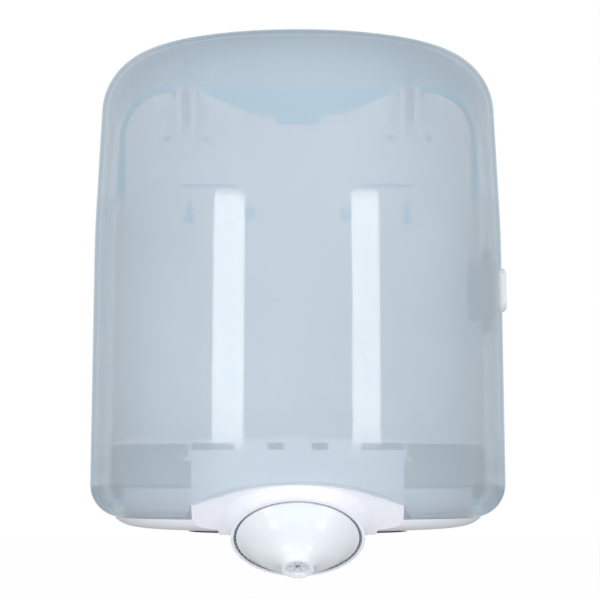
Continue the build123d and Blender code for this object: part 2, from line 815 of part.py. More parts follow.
with BuildPart() as roll_seat:
    add(d_prism(seat_half_width, seat_height - seat_wall, seat_height))
    add(seat_lip.part)
    add(seat_pads.part)
    add(slab((-far, far), (-apron_depth, far), (-far, far)), mode=Mode.SUBTRACT)
    # Curved apron up to the back
    for low_rise, high_rise, front, back in (
        (None, apron_crease, apron_depth, apron_depth - seat_wall),
        (apron_crease - seat_wall, apron_crease, apron_depth, back_wall + 0.2),
        (apron_crease - seat_wall, apron_top, back_wall + 0.2 + seat_wall, back_wall + 0.2),
    ):
        with BuildSketch(Plane.XZ.offset(back)):
            with BuildLine():
                side_z = edge_z + apron_side
                crest = ThreePointArc(
                    (-seat_half_width, side_z), (0, edge_z + high_rise), (seat_half_width, side_z)
                )
                if low_rise is None:
                    Polyline(
                        crest @ 1,
                        (seat_half_width, edge_z + seat_height - seat_wall),
                        (-seat_half_width, edge_z + seat_height - seat_wall),
                        crest @ 0,
                    )
                else:
                    under = ThreePointArc(
                        (-seat_half_width, side_z - seat_wall), (0, edge_z + low_rise),
                        (seat_half_width, side_z - seat_wall),
                    )
                    Line(crest @ 0, under @ 0)
                    Line(crest @ 1, under @ 1)
            make_face()
        extrude(amount=front - back)
    for side in (-1, 1):
        with BuildSketch(Plane.XZ.offset(apron_depth - 1)):
            with Locations((side * apron_slot_x, edge_z + apron_slot_level)):
                RectangleRounded(apron_slot_width, apron_slot_height, 2.5)
        extrude(amount=2, mode=Mode.SUBTRACT)
        # Hooks that hang over the sides of the bay
        hook_in = bay_half_width + 0.3
        hook_out = hook_in + hook_wall
        hook_y = (-hook_front, -hook_rear)
        hook_top = seat_height - 1
        toe_top = hook_foot + hook_wall
        add(slab(sorted((side * hook_in, side * hook_out)), hook_y, (hook_foot, hook_top)))
        add(slab(sorted((side * hook_in, side * (hook_in + hook_reach))), hook_y, (hook_foot, toe_top)))
        root = sorted((side * (hook_in - 2 * hook_wall), side * hook_out))
        add(slab(root, hook_y, (seat_height - seat_wall, hook_top)))
    add(guide_passage.part, mode=Mode.SUBTRACT)
    for x, y in leg_places:
        foot_z = edge_z - base_drop + 5
        add(bar((x, y, foot_z), (x, y, edge_z + seat_height - 1), leg_radius))
        add(drilled((x, y, foot_z), (0, 0, 1), 9), mode=Mode.SUBTRACT)
    for x, y in guide_screw_places:
        add(bar((x, y, edge_z + seat_height - 6), (x, y, edge_z + seat_height - 1), 3.4))
        add(drilled((x, y, edge_z + seat_height), (0, 0, -1), 5), mode=Mode.SUBTRACT)
    add(guide_passage.part, mode=Mode.SUBTRACT)
save(roll_seat.part, "roll_seat")

# Screws of the seat, the guide and the base
with BuildPart() as seat_screws:
    for seat in leg_screw_seats:
        add(screw(seat, (0, 0, 1), 9))
save(seat_screws.part, "seat_screws")
with BuildPart() as guide_screws:
    for x, y in guide_screw_places:
        add(screw((x, y, edge_z + seat_height + guide_rim), (0, 0, -1), 6))
save(guide_screws.part, "guide_screws")
with BuildPart() as base_screws:
    for seat in base_screw_seats:
        add(screw(seat, (0, 1, 0), base_wall + 2.5))
save(base_screws.part, "base_screws")

# Hinge brackets
def bracket(side):
    """One hinge bracket: a foot on the back shell and two ears for the pin."""
    with BuildPart() as piece:
        foot_low = hinge_height - 40
        foot_high = hinge_height - 18
        x_range = sorted((side * (hinge_x - 17), side * (hinge_x + 17)))
        add(slab(x_range, (-ear_front, -back_wall), (foot_low, foot_high)))
        for inner in (hinge_x - lug_width / 2 - ear_gap - ear_width, hinge_x + lug_width / 2 + ear_gap):
            start = side * inner if side > 0 else side * inner - ear_width
            with BuildSketch(Plane.YZ.offset(start)):
                with Locations((-hinge_depth, hinge_z)):
                    Circle(hinge_eye)
                with BuildLine():
                    Polyline(
                        (-hinge_depth - hinge_eye, hinge_z),
                        (-hinge_depth - hinge_eye + 0.5, hinge_z - 6),
                        (-ear_front, edge_z + foot_low),
                        (-back_wall, edge_z + foot_low),
                        (-back_wall, edge_z + foot_high),
                        (-hinge_depth + hinge_eye, hinge_z - 4),
                        (-hinge_depth + hinge_eye, hinge_z),
                        close=True,
                    )
                make_face()
            extrude(amount=ear_width)
        start = (side * (hinge_x - 20), -hinge_depth, hinge_z)
        end = (side * (hinge_x + 20), -hinge_depth, hinge_z)
        add(bar(start, end, pin_radius + 0.01), mode=Mode.SUBTRACT)
        for x, z in hinge_screw_places:
            if x * side > 0:
                add(drilled((x, -ear_front, z), (0, 1, 0), 5, screw_radius + 0.05), mode=Mode.SUBTRACT)
    return piece.part


save(bracket(-1), "hinge_bracket_left")
save(bracket(1), "hinge_bracket_right")

# Hinge pins with their clips, and the bracket screws
pin_inner = hinge_x - lug_width / 2 - ear_gap - ear_width
pin_outer = hinge_x + lug_width / 2 + ear_gap + ear_width
with BuildPart() as hinge_pins:
    for side in (-1, 1):
        inner = (side * pin_inner, -hinge_depth, hinge_z)
        add(bar(inner, (side * (pin_outer + clip_thickness + 1.4), -hinge_depth, hinge_z), pin_radius))
        add(bar((side * (pin_inner - pin_head), -hinge_depth, hinge_z), inner, pin_head_radius))
        clip_start = (side * (pin_outer + 0.1), -hinge_depth, hinge_z)
        clip_end = (side * (pin_outer + 0.1 + clip_thickness), -hinge_depth, hinge_z)
        add(bar(clip_start, clip_end, 3), mode=Mode.SUBTRACT)
        add(bar(clip_start, clip_end, pin_radius - 0.4))
save(hinge_pins.part, "hinge_pins")
with BuildPart() as pin_clips:
    for side in (-1, 1):
        clip_start = (side * (pin_outer + 0.11), -hinge_depth, hinge_z)
        clip_end = (side * (pin_outer + 0.09 + clip_thickness), -hinge_depth, hinge_z)
        add(bar(clip_start, clip_end, clip_radius))
        add(bar(clip_start, clip_end, pin_radius - 0.38), mode=Mode.SUBTRACT)
        with Locations((side * (pin_outer + 0.5), -hinge_depth - 3, hinge_z)):
            Box(4, 6, 1.6, mode=Mode.SUBTRACT)
save(pin_clips.part, "pin_clips")
with BuildPart() as hinge_screws:
    for x, z in hinge_screw_places:
        add(screw((x, -ear_front, z), (0, 1, 0), ear_front - back_wall + 2.4))
save(hinge_screws.part, "hinge_screws")

# Rubber buffers behind the cover's rear edge
with BuildPart() as cover_buffers:
    for side in (-1, 1):
        inner = side * (wall_x(30, cover_wall) - 0.4)
        outer_x = side * (wall_x(30, cover_wall) + 1.4)
        add(slab(sorted((inner, outer_x)), (-cover_rear_gap + 0.03, -back_wall), (27, 33)))
save(cover_buffers.part, "cover_buffers")

# Latch button with its flange and bolt arm
flange_plane = button_plane.offset(-0.05)
bolt_low = catch_height - catch_width / 2
bolt_high = catch_height + catch_width / 2
bolt_x = catch_nose - 0.6
button_x = wall_x(latch_height, cover_wall)
with BuildPart() as latch_button:
    with BuildSketch(flange_plane):
        SlotOverall(2 * button_half_height, 2 * button_half_width, rotation=90)
    extrude(amount=cover_wall + button_proud + 0.05)
    face = latch_button.faces().sort_by(Axis.X)[-1]
    chamfer(face.edges(), 1.4)
    with BuildSketch(flange_plane):
        SlotOverall(
            2 * (button_half_height + flange_margin), 2 * (button_half_width + flange_margin), rotation=90
        )
    extrude(amount=-flange_thickness)
    arm_in = bolt_x - bolt_arm
    add(slab((arm_in, button_x - 1.5), (-latch_depth - 3, -latch_depth + 3), (bolt_low, bolt_high)))
    bolt_rear = -catch_nose_depth + 0.4
    add(slab((bolt_x - bolt_arm, bolt_x), (-latch_depth - 3, bolt_rear + 3.5), (bolt_low, bolt_high)))
    with BuildSketch(Plane.XY.offset(edge_z + bolt_low)):
        with BuildLine():
            Polyline(
                (bolt_x - 0.5, bolt_rear),
                (catch_nose + bolt_overlap, bolt_rear),
                (catch_nose + bolt_overlap, bolt_rear + 1.2),
                (bolt_x - 0.5, bolt_rear + 3.5),
                close=True,
            )
        make_face()
    extrude(amount=catch_width)
    spring_level = latch_height + 5
    guide_post = (button_x - flange_thickness - 4, -latch_depth, edge_z + spring_level)
    add(bar(guide_post, (button_x - 1, -latch_depth, edge_z + spring_level), 2.2))
save(latch_button.part, "latch_button")

# Housing behind the button
housing_back = button_x - housing_depth
box_half_y = button_half_width + flange_margin + 0.8
box_half_z = button_half_height + flange_margin + 0.8
with BuildPart() as latch_housing:
    outer_y = box_half_y + housing_wall
    outer_z = box_half_z + housing_wall
    add(slab(
        (housing_back, button_x + 5),
        (-latch_depth - outer_y, -latch_depth + outer_y),
        (latch_height - outer_z, latch_height + outer_z),
    ))
    add(slab(
        (housing_back + housing_wall, button_x + 6),
        (-latch_depth - box_half_y, -latch_depth + box_half_y),
        (latch_height - box_half_z, latch_height + box_half_z),
    ), mode=Mode.SUBTRACT)
    ear_outer = button_x - boss_height
    add(slab(
        (ear_outer - 2, ear_outer),
        (-latch_depth - 5, -latch_depth + 5),
        (latch_height - 27.5, latch_height - box_half_z - 0.5),
    ))
    add(slab(
        (ear_outer - 2, ear_outer),
        (-latch_depth - 5, -latch_depth + 5),
        (latch_height + box_half_z + 0.5, latch_height + 27.5),
    ))
    add(slab(
        (bolt_x - bolt_arm - button_travel - 0.6, bolt_x + 0.6),
        (-latch_depth, -latch_depth + outer_y + 5),
        (bolt_low - 0.6, bolt_high + 0.6),
    ), mode=Mode.SUBTRACT)
    post_end = button_x - flange_thickness - 4 - button_travel - 0.2
    post_start = (housing_back + 1, -latch_depth, edge_z + spring_level)
    add(bar(post_start, (post_end, -latch_depth, edge_z + spring_level), 2.2))
    with BuildSketch(button_plane.offset(-0.3)):
        Rectangle(100, 100)
    extrude(amount=20, mode=Mode.SUBTRACT)
    for level in latch_screw_levels:
        seat = (ear_outer - 2, -latch_depth, edge_z + level)
        add(drilled(seat, (1, 0, 0), 4, screw_radius + 0.1), mode=Mode.SUBTRACT)
save(latch_housing.part, "latch_housing")
with BuildPart() as latch_screws:
    for level in latch_screw_levels:
        add(screw((ear_outer - 2, -latch_depth, edge_z + level), (1, 0, 0), 5.6))
save(latch_screws.part, "latch_screws")

# Return spring behind the button
with BuildPart() as latch_spring:
    spring_start = housing_back + housing_wall + spring_wire + 0.02
    spring_end = button_x - flange_thickness - 0.25 - spring_wire
    start = (spring_start, -latch_depth, edge_z + spring_level)
    with BuildLine():
        coil = Helix(
            pitch=(spring_end - spring_start) / 5, height=spring_end - spring_start,
            radius=spring_radius, center=start, direction=(1, 0, 0),
        )
    with BuildSketch(Plane(origin=coil @ 0, z_dir=coil % 0)):
        Circle(spring_wire)
    sweep()
save(latch_spring.part, "latch_spring")
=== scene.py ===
"""Dresses the wall-mounted centrefeed roll dispenser: a tinted lift-up cover over white parts."""

import logging
from dataclasses import dataclass, field
from enum import Enum
from math import atan, cos, floor, pi, radians, sin

import bmesh
import bpy
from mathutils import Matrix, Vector


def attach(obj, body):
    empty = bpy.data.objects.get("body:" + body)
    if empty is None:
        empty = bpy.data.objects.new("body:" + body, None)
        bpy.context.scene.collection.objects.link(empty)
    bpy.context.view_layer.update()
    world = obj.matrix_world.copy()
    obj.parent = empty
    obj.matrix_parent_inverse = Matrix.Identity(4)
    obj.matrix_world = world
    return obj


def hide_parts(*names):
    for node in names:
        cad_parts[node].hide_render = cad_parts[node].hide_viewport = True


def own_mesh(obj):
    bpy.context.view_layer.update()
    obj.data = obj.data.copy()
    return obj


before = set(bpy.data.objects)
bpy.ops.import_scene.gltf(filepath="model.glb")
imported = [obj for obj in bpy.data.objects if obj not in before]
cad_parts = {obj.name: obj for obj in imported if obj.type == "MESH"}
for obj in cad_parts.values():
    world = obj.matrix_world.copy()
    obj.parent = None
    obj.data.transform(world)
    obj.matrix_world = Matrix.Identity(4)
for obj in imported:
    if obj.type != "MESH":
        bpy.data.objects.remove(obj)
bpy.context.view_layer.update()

MM = 0.001
SIDES = (-1, 1)
Point = tuple[float, float, float]
Colour = tuple[float, float, float, float]
Finishes = dict[str, bpy.types.Material]
log = logging.getLogger("dispenser")


class Polish(Enum):
    """The roughness that a moulding takes from its tool."""

    GLOSS = 0.12
    SATIN = 0.28
    SPARK = 0.46
    MATT = 0.62


def linear(hex_colour: str) -> Colour:
    """Turns an sRGB hex colour into the linear values that a shader takes.

    Args:
        hex_colour: Six hex digits, with or without a leading hash.

    Returns:
        Red, green, blue and an alpha of 1.
    """
    digits = hex_colour.lstrip("#")
    channels = []
    for start in (0, 2, 4):
        value = int(digits[start:start + 2], 16) / 255
        channels.append(value / 12.92 if value <= 0.04045 else ((value + 0.055) / 1.055) ** 2.4)
    return (*channels, 1.0)


def add_node(tree: bpy.types.NodeTree, kind: str, settings: dict | None = None,
             links: dict | None = None) -> bpy.types.Node:
    """Adds one node with its settings and links.

    Args:
        tree: The node tree that the node joins.
        kind: The node's type name.
        settings: Attributes by name, or input values by socket name or index.
        links: Output sockets to join to this node's inputs, by socket name or index.

    Returns:
        The new node.
    """
    node = tree.nodes.new(kind)
    for key, value in (settings or {}).items():
        if isinstance(key, str) and hasattr(node, key):
            setattr(node, key, value)
        else:
            node.inputs[key].default_value = value
    for key, output in (links or {}).items():
        tree.links.new(output, node.inputs[key])
    return node


def bare_material(name: str) -> bpy.types.Material:
    """Makes a material with an empty node tree.

    Args:
        name: The material's name.

    Returns:
        The material.
    """
    material = bpy.data.materials.new(name)
    material.use_nodes = True
    material.node_tree.nodes.clear()
    return material


@dataclass(frozen=True)
class MouldedPlastic:
    """Injection moulded ABS, acetal or rubber.

    To the eye it is one even colour with a faint cloud where the melt flowed, and a fine tool
    texture that breaks up the edge of each reflection. The real texture is some 0.1 mm across,
    too fine for the render, so it is drawn at texture_mm.
    """

    name: str
    colour: str
    shade: str
    polish: Polish = Polish.GLOSS
    ior: float = 1.53
    flow_mm: float = 45.0
    flow_detail: float = 3.0
    shade_end: float = 0.3
    colour_start: float = 0.6
    wear_start: float = 0.3
    wear_end: float = 0.7
    smoothest: float = 0.88
    roughest: float = 1.16
    texture_mm: float = 0.9
    texture_detail: float = 2.0
    relief: float = 0.02
    relief_mm: float = 0.05

    def make(self) -> bpy.types.Material:
        """Builds the material.

        Returns:
            The node-based material.
        """
        material = bare_material(self.name)
        tree = material.node_tree
        place = add_node(tree, "ShaderNodeTexCoord").outputs["Object"]
        flow = add_node(tree, "ShaderNodeTexNoise",
                        {"Scale": 1 / (self.flow_mm * MM), "Detail": self.flow_detail},
                        {"Vector": place}).outputs["Fac"]
        tint = add_node(tree, "ShaderNodeValToRGB", {}, {"Fac": flow})
        tint.color_ramp.elements[0].position = self.shade_end
        tint.color_ramp.elements[0].color = linear(self.shade)
        tint.color_ramp.elements[1].position = self.colour_start
        tint.color_ramp.elements[1].color = linear(self.colour)
        wear = add_node(tree, "ShaderNodeMapRange",
                        {"From Min": self.wear_start, "From Max": self.wear_end,
                         "To Min": self.polish.value * self.smoothest,
                         "To Max": self.polish.value * self.roughest}, {"Value": flow})
        grain = add_node(tree, "ShaderNodeTexNoise",
                         {"Scale": 1 / (self.texture_mm * MM), "Detail": self.texture_detail},
                         {"Vector": place})
        bumps = add_node(tree, "ShaderNodeBump",
                         {"Strength": self.relief, "Distance": self.relief_mm * MM},
                         {"Height": grain.outputs["Fac"]})
        shader = add_node(tree, "ShaderNodeBsdfPrincipled", {"IOR": self.ior, "Metallic": 0.0},
                          {"Base Color": tint.outputs["Color"],
                           "Roughness": wear.outputs["Result"],
                           "Normal": bumps.outputs["Normal"]})
        add_node(tree, "ShaderNodeOutputMaterial", {}, {"Surface": shader.outputs["BSDF"]})
        return material


@dataclass(frozen=True)
class TintedCover:
    """Clear SAN moulding tinted smoke blue.

    To the eye it veils the inside by about half and keeps a hard, glossy skin, with only a slow
    cloud in its tint.
    """

    name: str = "tinted_san"
    colour: str = "#C5D3DD"
    deep: str = "#BFCDD8"
    cover: float = 0.43
    ior: float = 1.57
    roughness: float = 0.055
    cloud_mm: float = 83.3333
    cloud_detail: float = 2.0
    deep_end: float = 0.3
    colour_start: float = 0.7
    smoothest: float = 0.9
    roughest: float = 1.15

    def make(self) -> bpy.types.Material:
        """Builds the material.

        Returns:
            The node-based material, see-through by its alpha.
        """
        material = bare_material(self.name)
        tree = material.node_tree
        place = add_node(tree, "ShaderNodeTexCoord").outputs["Object"]
        cloud = add_node(tree, "ShaderNodeTexNoise",
                         {"Scale": 1 / (self.cloud_mm * MM), "Detail": self.cloud_detail},
                         {"Vector": place}).outputs["Fac"]
        tint = add_node(tree, "ShaderNodeValToRGB", {}, {"Fac": cloud})
        tint.color_ramp.elements[0].position = self.deep_end
        tint.color_ramp.elements[0].color = linear(self.deep)
        tint.color_ramp.elements[1].position = self.colour_start
        tint.color_ramp.elements[1].color = linear(self.colour)
        smear = add_node(tree, "ShaderNodeMapRange",
                         {"From Min": self.deep_end, "From Max": self.colour_start,
                          "To Min": self.roughness * self.smoothest,
                          "To Max": self.roughness * self.roughest}, {"Value": cloud})
        shader = add_node(tree, "ShaderNodeBsdfPrincipled",
                          {"IOR": self.ior, "Alpha": self.cover},
                          {"Base Color": tint.outputs["Color"],
                           "Roughness": smear.outputs["Result"]})
        add_node(tree, "ShaderNodeOutputMaterial", {}, {"Surface": shader.outputs["BSDF"]})
        return material


@dataclass(frozen=True)
class PlatedSteel:
    """Drawn steel wire or rod, or screw stock with a bright zinc plate.

    To the eye its reflections are sharp but broken by drawing marks. Real marks are finer than
    0.1 mm, too fine for the render, so they are drawn at mark_mm.
    """

    name: str
    colour: str
    roughness: float = 0.3
    mark_mm: float = 0.5
    mark_detail: float = 3.0
    smoothest: float = 0.75
    roughest: float = 1.3
    dulling: float = 0.82

    def make(self) -> bpy.types.Material:
        """Builds the material.

        Returns:
            The node-based material.
        """
        material = bare_material(self.name)
        tree = material.node_tree
        place = add_node(tree, "ShaderNodeTexCoord").outputs["Object"]
        marks = add_node(tree, "ShaderNodeTexNoise",
                         {"Scale": 1 / (self.mark_mm * MM), "Detail": self.mark_detail},
                         {"Vector": place}).outputs["Fac"]
        spread = add_node(tree, "ShaderNodeMapRange",
                          {"To Min": self.roughness * self.smoothest,
                           "To Max": self.roughness * self.roughest}, {"Value": marks})
        shade = add_node(tree, "ShaderNodeValToRGB", {}, {"Fac": marks})
        dull = [self.dulling * channel for channel in linear(self.colour)[:3]]
        shade.color_ramp.elements[0].color = (*dull, 1.0)
        shade.color_ramp.elements[1].color = linear(self.colour)
        shader = add_node(tree, "ShaderNodeBsdfPrincipled", {"Metallic": 1.0},
                          {"Base Color": shade.outputs["Color"],
                           "Roughness": spread.outputs["Result"]})
        add_node(tree, "ShaderNodeOutputMaterial", {}, {"Surface": shader.outputs["BSDF"]})
        return material


def dress(node: str, material: bpy.types.Material) -> None:
    """Gives a carried-over solid its finish.

    Args:
        node: The solid's name.
        material: The finish.
    """
    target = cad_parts[node]
    target.data.materials.clear()
    target.data.materials.append(material)
    log.info("dressed %s in %s", node, material.name)


class Grower:
    """A Geometry Nodes tree with named inputs, grown into a plain mesh."""

    def __init__(self, name: str) -> None:
        """Starts the tree.

        Args:
            name: The tree's name.
        """
        self.tree = bpy.data.node_groups.new(name, "GeometryNodeTree")
        for way in ("INPUT", "OUTPUT"):
            self.tree.interface.new_socket("Geometry", in_out=way,
                                           socket_type="NodeSocketGeometry")
        self.entry = add_node(self.tree, "NodeGroupInput")
        self.values: dict[str, object] = {}

    def size(self, name: str, value: object,
             kind: str = "NodeSocketFloat") -> bpy.types.NodeSocket:
        """Adds one named input.

        Args:
            name: The input's name.
            value: What it is set to on the modifier.
            kind: The socket's type.

        Returns:
            The socket inside the tree.
        """
        socket = self.tree.interface.new_socket(name, in_out="INPUT", socket_type=kind)
        self.values[socket.identifier] = value
        return next(out for out in self.entry.outputs if out.identifier == socket.identifier)

    def grow(self, name: str, grown: bpy.types.NodeSocket, points: list[Vector],
             material: bpy.types.Material) -> bpy.types.Object:
        """Closes the tree, runs it on some points and keeps the result as a plain mesh.

        Args:
            name: The finished piece's name.
            grown: The geometry to keep.
            points: Where the copies go, in metres.
            material: The piece's finish.

        Returns:
            The finished piece, at the origin.
        """
        whole = add_node(self.tree, "GeometryNodeRealizeInstances", {}, {"Geometry": grown})
        finish = self.size("Finish", material, "NodeSocketMaterial")
        painted = add_node(self.tree, "GeometryNodeSetMaterial", {},
                           {"Geometry": whole.outputs[0], "Material": finish})
        add_node(self.tree, "NodeGroupOutput", {}, {0: painted.outputs[0]})
        seed_mesh = bpy.data.meshes.new(f"{name}_points")
        seed_mesh.from_pydata([tuple(point) for point in points], [], [])
        carrier = bpy.data.objects.new(f"{name}_carrier", seed_mesh)
        modifier = carrier.modifiers.new("grow", "NODES")
        modifier.node_group = self.tree
        for identifier, value in self.values.items():
            modifier[identifier] = value
        bpy.context.scene.collection.objects.link(carrier)
        bpy.context.view_layer.update()
        evaluated = carrier.evaluated_get(bpy.context.evaluated_depsgraph_get())
        mesh = bpy.data.meshes.new_from_object(evaluated)
        mesh.name = name
        bpy.data.objects.remove(carrier)
        if not mesh.materials:
            mesh.materials.append(material)
        piece = bpy.data.objects.new(name, mesh)
        bpy.context.scene.collection.objects.link(piece)
        return piece


@dataclass
class ScrewBlank:
    """One pan head screw with a cross recess and a rolled thread.

    It stands with its head's seat on the XY plane and its shank below. All sizes are in mm.
    """

    length: float
    head_radius: float = 2.2
    head_height: float = 1.4
    head_round: float = 0.45
    round_inset: float = 0.13
    round_drop: float = 0.17
    shank_radius: float = 1.25
    pitch: float = 1.0
    thread_depth: float = 0.2
    point_length: float = 0.6
    point_radius: float = 0.3
    recess_reach: float = 1.3
    recess_half: float = 0.3
    recess_depth: float = 0.8
    recess_taper: float = 0.8
    sides: int = 24
    steps_per_turn: int = 6

    def ring(self, work: bmesh.types.BMesh, radius: float, height: float,
             threaded: bool = False) -> list[bmesh.types.BMVert]:
        """Adds one ring of corners.

        Args:
            work: The mesh in hand.
            radius: The ring's radius.
            height: Its height over the seat, negative down the shank.
            threaded: Whether the thread moves its corners in and out.

        Returns:
            The ring's corners in order.
        """
        corners = []
        for index in range(self.sides):
            turn = index / self.sides
            reach = radius
            if threaded:
                phase = height / self.pitch - turn
                reach -= self.thread_depth * abs(2 * (phase - floor(phase)) - 1)
            angle = 2 * pi * turn
            corners.append(work.verts.new((reach * cos(angle) * MM, reach * sin(angle) * MM,
                                           height * MM)))
        return corners

    def join(self, work: bmesh.types.BMesh, upper: list[bmesh.types.BMVert],
             lower: list[bmesh.types.BMVert]) -> None:
        """Skins two rings together with quads.

        Args:
            work: The mesh in hand.
            upper: The ring above.
            lower: The ring below.
        """
        count = len(upper)
        for index in range(count):
            after = (index + 1) % count
            work.faces.new((upper[index], lower[index], lower[after], upper[after]))

    def crown(self, work: bmesh.types.BMesh, rim: list[bmesh.types.BMVert]) -> None:
        """Fills the top of the head around its cross recess.

        Args:
            work: The mesh in hand.
            rim: The head's uppermost ring.
        """
        reach, half = self.recess_reach, self.recess_half
        outline = [(reach, -half), (reach, half), (half, half), (half, reach),
                   (-half, reach), (-half, half), (-reach, half), (-reach, -half),
                   (-half, -half), (-half, -reach), (half, -reach), (half, -half)]
        top = [work.verts.new((x * MM, y * MM, self.head_height * MM)) for x, y in outline]
        low_level = (self.head_height - self.recess_depth) * MM
        low = [work.verts.new((self.recess_taper * x * MM, self.recess_taper * y * MM, low_level))
               for x, y in outline]
        edges = [work.edges.get((rim[i - 1], rim[i])) for i in range(len(rim))]
        edges += [work.edges.new((top[i - 1], top[i])) for i in range(len(top))]
        bmesh.ops.triangle_fill(work, use_beauty=True, edges=edges)
        self.join(work, top, low)
        work.faces.new(low)

    def build(self, name: str) -> bpy.types.Object:
        """Makes the blank, which is copied but never shown itself.

        Args:
            name: The blank's name.

        Returns:
            An object outside the scene that holds the blank's mesh.
        """
        work = bmesh.new()
        root_radius = self.shank_radius - self.thread_depth
        profile = [(self.head_radius - self.head_round, self.head_height),
                   (self.head_radius - self.round_inset, self.head_height - self.round_drop),
                   (self.head_radius, self.head_height - self.head_round),
                   (self.head_radius, 0.0), (root_radius, 0.0)]
        rings = [self.ring(work, radius, height) for radius, height in profile]
        thread_end = self.length - self.point_length
        steps = int(thread_end / self.pitch * self.steps_per_turn)
        for step in range(1, steps):
            level = -step * self.pitch / self.steps_per_turn
            rings.append(self.ring(work, self.shank_radius, level, True))
        rings.append(self.ring(work, root_radius, -thread_end))
        rings.append(self.ring(work, self.point_radius, -self.length))
        for upper, lower in zip(rings, rings[1:]):
            self.join(work, upper, lower)
        work.faces.new(list(reversed(rings[-1])))
        self.crown(work, rings[0])
        bmesh.ops.recalc_face_normals(work, faces=work.faces)
        mesh = bpy.data.meshes.new(name)
        work.to_mesh(mesh)
        work.free()
        return bpy.data.objects.new(name, mesh)


@dataclass
class ScrewSet:
    """The screws of one joint: copies of one blank on their seats, in mm."""

    node: str
    body: str
    seats: list[Point]
    driven: Point
    length: float

    def build(self, material: bpy.types.Material) -> bpy.types.Object:
        """Places the screws and lets them stand for the CAD ones.

        Args:
            material: The screws' plating.

        Returns:
            The finished piece.
        """
        blank = ScrewBlank(self.length).build(f"{self.node}_blank")
        grower = Grower(f"{self.node}_tree")
        axis = grower.size("Way out", tuple(-part for part in self.driven), "NodeSocketVector")
        kind = grower.size("Screw", blank, "NodeSocketObject")
        scale = grower.size("Scale", 1.0)
        shape = add_node(grower.tree, "GeometryNodeObjectInfo", {}, {"Object": kind})
        turn = add_node(grower.tree, "FunctionNodeAlignRotationToVector", {"axis": "Z"},
                        {"Vector": axis})
        spread = add_node(grower.tree, "GeometryNodeInstanceOnPoints", {},
                          {"Points": grower.entry.outputs["Geometry"],
                           "Instance": shape.outputs["Geometry"],
                           "Rotation": turn.outputs[0], "Scale": scale})
        points = [Vector(seat) * MM for seat in self.seats]
        piece = grower.grow(f"{self.node}_threaded", spread.outputs[0], points, material)
        bpy.data.objects.remove(blank)
        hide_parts(self.node)
        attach(piece, self.body)
        log.info("set %d screws for %s", len(self.seats), self.node)
        return piece


@dataclass
class ReturnSpring:
    """The coil spring behind the latch button, wound along X, in mm."""

    fixed_end: float = 108.499
    free_end: float = 120.249
    depth: float = -92.0
    level: float = 4.0
    radius: float = 3.2
    wire: float = 0.35
    turns: float = 6.0
    travel: float = 3.0
    steps_per_turn: int = 32
    wire_sides: int = 10

    def build(self, material: bpy.types.Material) -> bpy.types.Object:
        """Winds the coil between its fixed and free ends.

        Args:
            material: The wire's finish.

        Returns:
            The finished piece.
        """
        span = self.free_end - self.fixed_end - 2 * self.wire
        grower = Grower("return_spring_tree")
        turns = grower.size("Turns", self.turns)
        radius = grower.size("Coil radius", self.radius * MM)
        height = grower.size("Coil length", span * MM)
        wire = grower.size("Wire radius", self.wire * MM)
        coil = add_node(grower.tree, "GeometryNodeCurveSpiral",
                        {"Resolution": self.steps_per_turn},
                        {"Rotations": turns, "Start Radius": radius, "End Radius": radius,
                         "Height": height})
        round_wire = add_node(grower.tree, "GeometryNodeCurvePrimitiveCircle",
                              {"Resolution": self.wire_sides}, {"Radius": wire})
        tube = add_node(grower.tree, "GeometryNodeCurveToMesh", {"Fill Caps": True},
                        {"Curve": coil.outputs[0], "Profile Curve": round_wire.outputs[0]})
        start = Vector((self.fixed_end + self.wire, self.depth, self.level)) * MM
        along_x = (0, pi / 2, 0)
        place = add_node(grower.tree, "GeometryNodeTransform", {},
                         {"Geometry": tube.outputs[0]})
        place.inputs["Translation"].default_value = start
        place.inputs["Rotation"].default_value = along_x
        piece = grower.grow("return_spring", place.outputs[0], [Vector((0, 0, 0))], material)
        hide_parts("latch_spring")
        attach(piece, "cover")
        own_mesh(piece)
        log.info("wound the return spring")
        return piece


